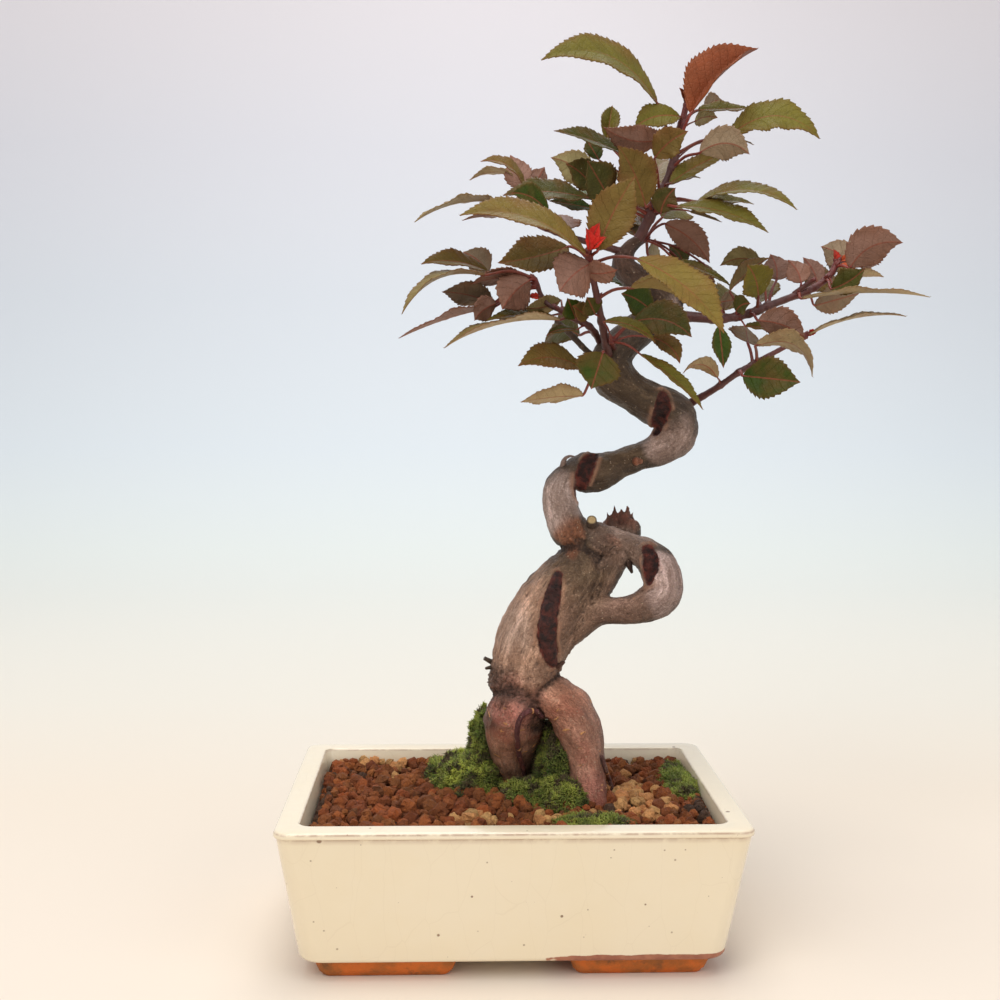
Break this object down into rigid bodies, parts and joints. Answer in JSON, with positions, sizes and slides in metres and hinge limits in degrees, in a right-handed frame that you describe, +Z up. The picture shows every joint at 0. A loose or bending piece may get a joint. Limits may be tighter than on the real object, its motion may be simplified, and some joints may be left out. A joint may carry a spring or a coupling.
{
  "type": "apple bonsai in a pot",
  "caption": "Small twisted apple tree with a looped trunk, toothed olive and bronze leaves, granular soil and moss, in a rectangular cream glazed pot on low clay feet.",
  "frame": {"origin": "centre of the object's box, at the underside of the pot's feet", "axes": "+Z up, along the tree's height; -Y towards the viewer, past the pot's long front; X along the pot's length"},
  "size_m": [0.2222, 0.1126, 0.323],
  "materials": {
    "glaze": "glossy cream glaze with fine specks, over orange clay that is bare at the feet",
    "screen": "matt",
    "akadama": "matt baked clay grains",
    "moss": "soft and matt",
    "bark": "matt to satin bark",
    "foliage": "satin leaves and shoots"
  },
  "bodies": {
    "root": {"pot": "glaze", "drain_screen_left": "screen", "drain_screen_right": "screen", "soil": "akadama", "moss_left": "moss", "moss_between": "moss", "moss_front": "moss", "moss_corner": "moss", "trunk": "bark", "shoot_top": "foliage", "shoot_left_high": "foliage", "shoot_front": "foliage", "shoot_left_low": "foliage", "collar_left": "foliage", "collar_right": "foliage", "shoot_back": "foliage", "shoot_knob": "foliage", "branch_right": "foliage", "branch_right_low": "foliage"}
  },
  "joints": []
}
